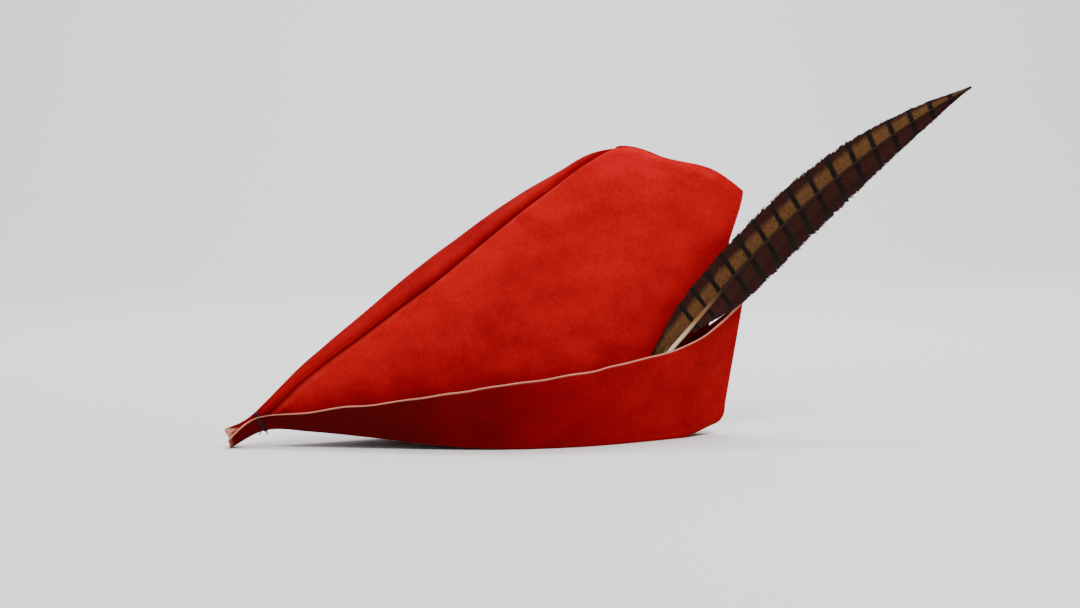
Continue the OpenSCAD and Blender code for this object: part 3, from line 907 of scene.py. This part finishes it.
@dataclass
class SeamStitches:
    """The sewing of every seam: short threads pulled tight and sunk between the panels."""

    lines: HatLines
    palette: Palette
    thread_d: float = 0.7
    plumpness: float = 0.22
    pitch: float = 7
    first: float = 0.16
    last: float = 0.99
    across_angle: float = 1.6
    across_u: float = 0.006
    end_angle: float = 8
    under_groove: float = 2.4
    ridge_l: float = 290
    crown_back_l: float = 165
    brim_back_l: float = 75
    join_l: float = 300
    join_reach: float = 3

    def places(self, length: float) -> np.ndarray:
        """Returns where the stitches of a seam lie, as shares of its length."""
        count = math.floor(length / self.pitch)
        return (np.arange(count) + 0.5) / count

    def ends(self) -> dict[str, tuple[np.ndarray, np.ndarray]]:
        """Returns the two ends of every stitch, seam by seam."""
        lines, flip = self.lines, np.array((1, -1, 1))
        u = mix(self.first, self.last, self.places(self.ridge_l))
        deep = lines.suede + self.under_groove * (1 - 0.7 * smooth(0.60, 0.72, u))
        seam = lines.seam_angle(u)
        ridge = [lines.crown(u, seam + side * self.across_angle, deep) for side in (-1, 1)]
        up, back = self.places(self.crown_back_l), 1 - self.across_u
        crown = lines.crown(back + 0 * up, mix(self.end_angle, 90 - self.end_angle, up), lines.suede)
        up = self.places(self.brim_back_l)
        brim = lines.brim(back + 0 * up, mix(0.4, 1, up), Side.LEFT, lines.suede)
        u = mix(self.first, lines.back_from, self.places(self.join_l))
        x, y, z = through(lines.base, u)[:, 0], -lines.half_w(u) + lines.suede / 2, lines.base_z(u) + 0.4
        low = np.stack([x, y, z], -1)
        high = low + (0, 0, lines.suede + lines.sewing_gap + self.join_reach)
        return {"ridge_stitching": tuple(ridge), "crown_back_stitching": (crown, crown * flip),
                "brim_back_stitching": (brim, brim * flip), "brim_join_stitching_left": (low, high),
                "brim_join_stitching_right": (low * flip, high * flip)}

    def one(self) -> bpy.types.Object:
        """Returns one stitch, a bowed thread from (-1, 0, 0) to (1, 0, 0) with closed ends."""
        bpy.ops.object.select_all(action="DESELECT")
        bpy.ops.mesh.primitive_torus_add(major_segments=12, minor_segments=6, minor_radius=self.plumpness)
        obj = bpy.context.object
        select_where(obj, "VERT", lambda v: v.co.y < -0.01)
        bpy.ops.mesh.delete(type="VERT")
        bpy.ops.mesh.select_all(action="DESELECT")
        bpy.ops.mesh.select_non_manifold()
        bpy.ops.mesh.fill_holes(sides=0)
        bpy.ops.object.mode_set(mode="OBJECT")
        bpy.ops.object.shade_smooth_by_angle(angle=math.radians(50))
        return obj

    def build(self) -> dict[str, bpy.types.Object]:
        """Returns each seam's row of stitches under the name of the node that it stands for."""
        pattern, rows = self.one(), {}
        for node, (starts, stops) in self.ends().items():
            copies = []
            for start, stop in zip(starts, stops):
                reach = (stop - start) / 2
                half = max(np.linalg.norm(reach), self.thread_d)
                ahead = Vector(reach / np.linalg.norm(reach))
                side = ahead.orthogonal().normalized()
                turn = Matrix((ahead, side, ahead.cross(side))).transposed().to_4x4()
                size = Matrix.Diagonal((half, self.thread_d, self.thread_d / 2 / self.plumpness, 1 / MM)) * MM
                mesh = pattern.data.copy()
                mesh.transform(Matrix.Translation((start + stop) / 2 * MM) @ turn @ size)
                copy = bpy.data.objects.new(f"{node}_row", mesh)
                bpy.context.scene.collection.objects.link(copy)
                copies.append(copy)
            bpy.ops.object.select_all(action="DESELECT")
            for copy in copies:
                copy.select_set(True)
            bpy.context.view_layer.objects.active = copies[0]
            bpy.ops.object.join()
            rows[node] = bpy.context.object
            rows[node].data.materials.append(self.palette.get(SEAM_THREAD))
        bpy.data.objects.remove(pattern)
        return rows


@dataclass
class FeatherLines:
    """The feather's place and outlines, as the CAD part has them."""

    keeper_at: Triple = (86.5, -35.2, 44)
    yaw: float = 18
    rise: float = 45.5
    straight: float = 80
    curved: float = 243
    turn: float = 21
    quill_r: float = 1.7
    tip_r: float = 0.45
    quill_to: float = 30
    butt: float = 22
    vane_w: float = 20
    upper_from: float = 12
    lower_from: float = 46
    upper_share: tuple = (0.38, 0.76, 0.85, 0.87, 0.85, 0.78, 0.59, 0.33, 0.03)
    lower_share: tuple = (0.20, 0.84, 0.99, 0.99, 0.87, 0.66, 0.37, 0.03)

    @property
    def length(self) -> float:
        """The feather's length beyond the keeper's stitch."""
        return self.straight + self.curved

    def stand(self, unit: float = 1) -> Matrix:
        """Returns the move from the feather's own frame to the hat's, with a millimetre as one unit."""
        yaw = Matrix.Rotation(math.radians(self.yaw), 4, "Z")
        rise = Matrix.Rotation(math.radians(-self.rise), 4, "Y")
        return Matrix.Translation(Vector(self.keeper_at) * unit) @ yaw @ rise

    def place(self, p: np.ndarray) -> np.ndarray:
        """Moves points from the feather's own frame to the hat's."""
        m = np.array(self.stand())
        return p @ m[:3, :3].T + m[:3, 3]

    def bend(self, s: np.ndarray) -> np.ndarray:
        """Returns how far the middle line has turned at s, in radians."""
        return np.radians(self.turn) * np.clip((s - self.straight) / self.curved, 0, 1)

    def at(self, s: np.ndarray, q: np.ndarray, y: np.ndarray) -> np.ndarray:
        """Returns points s along the shaft, q across it and y through it, in the feather's frame."""
        r = self.curved / math.radians(self.turn)
        b = self.bend(s)
        over = np.maximum(0, s - self.length)
        x = np.minimum(s, self.straight) + r * np.sin(b) + over * np.cos(b) + q * np.sin(b)
        z = -r * (1 - np.cos(b)) - over * np.sin(b) + q * np.cos(b)
        return np.stack([x, y, z], -1)

    def shaft_r(self, s: np.ndarray) -> np.ndarray:
        """Returns the shaft's radius at s."""
        k = np.clip((s - self.quill_to) / (self.length - self.quill_to), 0, 1)
        return mix(self.quill_r, self.tip_r, k ** 0.8)

    def width(self, vane: Vane, s: np.ndarray) -> np.ndarray:
        """Returns a vane's width at s."""
        start, share = ((self.upper_from, self.upper_share) if vane is Vane.UPPER
                        else (self.lower_from, self.lower_share))
        k = (s - start) / (self.length - start)
        return self.vane_w * np.maximum(0.02, through(share, k))


@dataclass
class Feather:
    """The barred tail feather: quill, shaft, barbs and down."""

    lines: FeatherLines
    palette: Palette
    barb_pitch: float = 0.36
    barb_steps: int = 7
    barb_lean: tuple[float, float] = (0.75, 1.55)
    barb_half_w: tuple[float, float] = (0.36, 0.40)
    barb_t: tuple[float, float] = (0.17, 0.08)
    clump: float = 7.5
    small_clump: float = 2.6
    tuft_barbs: int = 130
    tuft_steps: int = 7
    camber: float = 1.6
    tan_w: float = 9.0
    bar_slant: float = 0.16
    marks_at: tuple = (-100, 44.5, 72, 104.5, 137.5, 154, 189, 226, 261, 295.5, 330)
    marks: tuple = (-1, 0, 2, 4, 6, 7, 9, 11, 13, 15, 17)

    def shaft(self) -> bpy.types.Object:
        """Returns the quill and shaft in one tapered piece with a flat underside."""
        lines = self.lines
        end = -lines.butt
        s = np.concatenate([[end, end + 0.7], np.linspace(end + 2, lines.length, 120)])
        r = lines.shaft_r(s)
        r[0] *= 0.55
        r[1] *= 0.88
        sides = 16
        angle = np.linspace(0, 2 * math.pi, sides, endpoint=False)
        flat = smooth(20, 70, s)[:, None]
        ry = r[:, None] * (1 - 0.22 * flat * (np.sin(angle) > 0) * np.sin(angle) ** 2)
        points = lines.at(s[:, None] * np.ones(sides), r[:, None] * np.cos(angle), ry * np.sin(angle))
        obj = make_mesh("feather_shaft", lines.place(points.reshape(-1, 3)), tube_faces(len(s), sides),
                        [self.palette.get(HORN)])
        share = (s + lines.butt) / (lines.length + lines.butt)
        add_values(obj, "along", np.repeat(share, sides))
        face_outwards(obj)
        return obj

    def vane(self, vane: Vane) -> bpy.types.Object:
        """Returns one vane, barb by barb.

        Args:
            vane: which vane.
        """
        lines = self.lines
        rng = np.random.default_rng(7 if vane is Vane.UPPER else 11)
        start = lines.upper_from if vane is Vane.UPPER else lines.lower_from
        roots = np.arange(start - 2, lines.length - 0.6, self.barb_pitch)
        n = len(roots)
        roots = roots + rng.normal(0, 0.05, n)
        share = (roots - start) / (lines.length - start)
        lean = mix(*self.barb_lean, np.clip(share, 0, 1))
        clump = np.zeros(n)
        for weight, size, y, z in ((1, self.clump, 0.3, 3.0), (0.6, self.small_clump, 5.3, 7.0)):
            clump += weight * np.array([noise.noise(Vector((r / size, y, vane.value * z))) for r in roots])
        lean = lean + 0.022 * clump + rng.normal(0, 0.003, n)
        width = lines.width(vane, roots)
        for _ in range(4):
            width = lines.width(vane, roots + width * lean)
        width = width * (1 + rng.normal(0, 0.030, n) + 0.04 * clump)
        t = np.linspace(0, 1, self.barb_steps + 1)
        q = width[:, None] * t
        along = roots[:, None] + q * lean[:, None] * (0.86 + 0.14 * t)
        bow = self.camber * (q / 20) ** 2 + rng.normal(0, 0.08, n)[:, None] * t + 0.30 * clump[:, None] * t
        half = mix(*self.barb_half_w, t) * (0.5 + 0.5 * np.minimum(1, width / 6))[:, None]
        thick = mix(*self.barb_t, t)
        base_r = lines.shaft_r(roots)[:, None] * 0.6
        corners = [(-1, 0.0), (1, 0.0), (0.2, -1.0)]
        points = np.stack([lines.at(along + a * half, vane.value * (base_r + q), bow + b * thick * 2 - 0.1)
                           for a, b in corners], 2)
        finish = UPPER_BARBS if vane is Vane.UPPER else SHADED_LOWER_BARBS
        obj = make_mesh(f"{vane.name.lower()}_barbs", lines.place(points.reshape(-1, 3)),
                        tube_faces(self.barb_steps + 1, len(corners), tubes=n), [self.palette.get(finish)],
                        angle=25)
        uv = obj.data.uv_layers.new(name="plumage")
        jitter = rng.normal(0, 0.018, n)[:, None]
        bar = np.interp(along - vane.value * self.bar_slant * q, self.marks_at, self.marks) + jitter
        tan_w = np.minimum(self.tan_w, 0.72 * width)[:, None] * (1 + 0.10 * clump[:, None])
        across = np.clip(0.5 * q / np.maximum(tan_w, 1), 0, 1)
        values = np.repeat(np.stack([bar, across + 0 * bar], -1)[:, :, None], 3, axis=2).reshape(-1, 2)
        index = np.zeros(len(obj.data.loops), np.int32)
        obj.data.loops.foreach_get("vertex_index", index)
        uv.data.foreach_set("uv", values[index].astype(np.float32).ravel())
        face_outwards(obj)
        return obj

    def down(self) -> bpy.types.Object:
        """Returns the tuft of soft down at the foot of the vanes."""
        lines, rng = self.lines, np.random.default_rng(5)
        n, m = self.tuft_barbs, self.tuft_steps
        s0 = rng.uniform(8.5, 19, n)
        angle = rng.uniform(0, 2 * math.pi, n)
        length = rng.uniform(6, 11, n) * (0.7 + 0.3 * np.abs(np.cos(angle)))
        t = np.linspace(0, 1, m)
        reach = 1.2 + 2.4 * t ** 0.8
        curl = rng.normal(0, 0.5, (n, 1)) * t ** 2
        s = s0[:, None] + length[:, None] * t
        q = reach * np.cos(angle)[:, None] + curl
        y = reach * 0.75 * np.sin(angle)[:, None] - curl * 0.5
        middle = lines.at(s, q, y)
        half = 0.10 * (1 - 0.6 * t)
        corners = ((1, 0), (-0.5, 0.87), (-0.5, -0.87))
        points = np.stack([middle + np.stack([0 * s, a * half + 0 * s, b * half + 0 * s], -1)
                           for a, b in corners], 2)
        obj = make_mesh("feather_down_tuft", lines.place(points.reshape(-1, 3)),
                        tube_faces(m, len(corners), tubes=n), [self.palette.get(DOWN)])
        face_outwards(obj)
        return obj


@dataclass
class Keeper:
    """The suede keeper: a round foot that turns on one stitch, and two loops for the quill."""

    lines: FeatherLines
    palette: Palette
    foot_r: float = 7
    foot_t: float = 1.0
    foot_front: float = 3
    hole_r: float = 1.0
    play: float = 0.4
    wall: float = 1.2
    loop_l: float = 3.5
    loop_off: float = 5

    def put(self, obj: bpy.types.Object, name: str) -> bpy.types.Object:
        """Moves a piece from the feather's frame to the hat's, and names and colours it."""
        obj.data.transform(self.lines.stand(MM) @ obj.matrix_basis)
        obj.matrix_basis = Matrix.Identity(4)
        obj.name = name
        obj.data.materials.append(self.palette.get(KEEPER_SUEDE))
        face_outwards(obj)
        return obj

    def foot(self) -> bpy.types.Object:
        """Returns the round foot, dished round the hole for its stitch."""
        bpy.ops.object.select_all(action="DESELECT")
        middle = (self.foot_front + self.foot_t / 2) * MM
        bpy.ops.mesh.primitive_cylinder_add(vertices=48, radius=self.foot_r * MM, depth=self.foot_t * MM,
                                            location=(0, middle, 0), rotation=(math.radians(90), 0, 0))
        obj = bpy.context.object
        select_where(obj, "FACE", lambda f: abs(f.normal.z) > 0.9)
        bpy.ops.mesh.inset(thickness=(self.foot_r - self.hole_r) * 0.6 * MM)
        bpy.ops.mesh.inset(thickness=(self.foot_r - self.hole_r) * 0.4 * MM)
        bpy.ops.mesh.bridge_edge_loops()
        bpy.ops.object.mode_set(mode="OBJECT")
        for vertex in obj.data.vertices:
            out = math.hypot(vertex.co.x, vertex.co.y) / MM
            vertex.co.z *= 0.75 + 0.25 * float(smooth(self.hole_r, self.foot_r * 0.6, out))
        soften_edges(obj, 0.22)
        return self.put(obj, "keeper_foot_disc")

    def loop(self, side: int) -> bpy.types.Object:
        """Returns one loop, a strip of suede closed round the quill.

        Args:
            side: -1 for the loop nearer the quill's end, 1 for the other.
        """
        bpy.ops.object.select_all(action="DESELECT")
        outer = self.lines.quill_r + self.play + self.wall
        middle = (side * self.loop_off * MM, 0, 0)
        bpy.ops.mesh.primitive_cylinder_add(vertices=40, radius=outer * MM, depth=self.loop_l * MM,
                                            end_fill_type="NOTHING", location=middle,
                                            rotation=(0, math.radians(90), 0))
        obj = bpy.context.object
        wall = obj.modifiers.new("wall", "SOLIDIFY")
        wall.thickness, wall.offset = self.wall * MM, -1
        bpy.ops.object.modifier_apply(modifier="wall")
        soften_edges(obj, 0.3)
        return self.put(obj, f"keeper_loop_{'low' if side < 0 else 'high'}")


@dataclass
class Studio:
    """The pale floor, the soft lights and the camera."""

    palette: Palette
    distance: float = 1.60
    elevation: float = 3.6
    roll: float = 1.6
    aim: Triple = (0.0147, 0.0, 0.0952)
    lens: float = 76.0
    floor_size: tuple[float, float] = (30, 18)
    backdrop_y: float = 3.5
    backdrop_h: float = 4
    sweep: float = 1.4

    def floor(self) -> bpy.types.Object:
        """Returns a pale floor that curves up into a backdrop behind the hat."""
        bpy.ops.object.select_all(action="DESELECT")
        bpy.ops.mesh.primitive_plane_add(size=1, location=(0, 0, 0))
        obj = bpy.context.object
        obj.name = "studio_floor"
        width, depth = self.floor_size
        place = Matrix.Translation((0, self.backdrop_y - depth / 2, 0))
        obj.data.transform(place @ Matrix.Diagonal((width, depth, 1, 1)))
        select_where(obj, "EDGE", lambda edge: all(obj.data.vertices[v].co.y > 1 for v in edge.vertices))
        bpy.ops.mesh.extrude_region_move(TRANSFORM_OT_translate={"value": (0, 0, self.backdrop_h)})
        bpy.ops.object.mode_set(mode="OBJECT")
        bevel = obj.modifiers.new("sweep", "BEVEL")
        bevel.width, bevel.segments, bevel.limit_method = self.sweep, 24, "ANGLE"
        pick(obj)
        bpy.ops.object.modifier_apply(modifier="sweep")
        bpy.ops.object.shade_smooth()
        obj.data.materials.append(self.palette.get(PALE_FLOOR))
        return obj

    def light(self, name: str, at: Triple, to: Triple, size: float,
              power: float, color: Triple = (1, 1, 1)) -> None:
        """Adds one soft light.

        Args:
            name: its name.
            at: where it stands, in metres.
            to: the point it is aimed at, in metres.
            size: the length of its square side, in metres.
            power: its strength, in watts.
            color: its tint.
        """
        data = bpy.data.lights.new(name, "AREA")
        data.shape, data.size, data.energy, data.color = "SQUARE", size, power, color
        obj = bpy.data.objects.new(name, data)
        obj.location = at
        obj.rotation_euler = (Vector(to) - Vector(at)).to_track_quat("-Z", "Y").to_euler()
        bpy.context.scene.collection.objects.link(obj)

    def build(self) -> None:
        """Sets up the floor, lights, world and camera."""
        self.floor()
        hat = (0.02, 0, 0.09)
        self.light("key", (0.85, -1.25, 1.95), hat, 0.9, 62, (1.0, 0.985, 0.96))
        self.light("fill", (-1.6, -1.5, 0.9), hat, 1.4, 5)
        self.light("top", (0.1, 0.5, 2.1), hat, 1.3, 20)
        self.light("backdrop", (0, 1.2, 2.6), (0, 3.4, 0.6), 2.0, 90)
        world = bpy.data.worlds.new("studio_air")
        world.use_nodes = True
        air = world.node_tree.nodes["Background"].inputs
        air["Color"].default_value = (0.93, 0.95, 1.0, 1)
        air["Strength"].default_value = 0.36
        bpy.context.scene.world = world
        data = bpy.data.cameras.new("studio_camera")
        data.lens, data.sensor_width = self.lens, 36
        data.clip_start, data.clip_end = 0.05, 50
        camera = bpy.data.objects.new("studio_camera", data)
        e = math.radians(self.elevation)
        aim = Vector(self.aim)
        camera.location = aim + self.distance * Vector((0, -math.cos(e), math.sin(e)))
        look = (aim - camera.location).to_track_quat("-Z", "Y")
        roll = Matrix.Rotation(math.radians(-self.roll), 3, "Z")
        camera.rotation_euler = (look.to_matrix() @ roll).to_euler()
        bpy.context.scene.collection.objects.link(camera)
        bpy.context.scene.camera = camera


def wear_finish(nodes: Sequence[str], material: bpy.types.Material) -> None:
    """Gives CAD pieces that stay in view their finish."""
    for name in nodes:
        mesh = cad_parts[name].data
        mesh.materials.clear()
        mesh.materials.append(material)


def declare(obj: bpy.types.Object, body: str, slot: str, *nodes: str) -> None:
    """Attaches a piece to the body it rides on, hides the CAD nodes it stands for and logs its face count."""
    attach(obj, body)
    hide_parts(*nodes)
    LOG.info("%s: %d faces", obj.name, len(obj.data.polygons))


def main() -> None:
    """Builds the hat, the feather and the studio in order."""
    logging.basicConfig(level=logging.INFO, format="%(name)s: %(message)s")
    palette = Palette()
    for side in Side:
        for kind, panel, cut in (("crown", CrownPanel, CROWN_CUT), ("brim", BrimPanel, BRIM_CUT)):
            obj = panel(LINES, palette, side).build()
            declare(obj, "hat", "suede", f"{kind}_{side.name.lower()}")
    for obj in TipBinding(LINES, palette).build():
        declare(obj, "hat", "binding_cord", "tip_binding" if "winding" in obj.name else "binding_knot")
    feather = Feather(FeatherLines(), palette)
    declare(feather.shaft(), "feather", "quill_horn", "quill", "shaft")
    for vane in Vane:
        declare(feather.vane(vane), "feather", "vane_barbs", f"{vane.name.lower()}_vane")
    declare(feather.down(), "feather", "feather_down", "down_tuft")
    for node, obj in SeamStitches(LINES, palette).build().items():
        declare(obj, "hat", "seam_thread", node)
    keeper = Keeper(FeatherLines(), palette)
    declare(keeper.foot(), "keeper", "keeper_suede", "keeper_foot")
    for end in (-1, 1):
        declare(keeper.loop(end), "keeper", "keeper_suede", "keeper_loop")
    wear_finish(("keeper_stitch",), palette.get(CORD))
    Studio(palette).build()


if __name__ == "__main__":
    main()
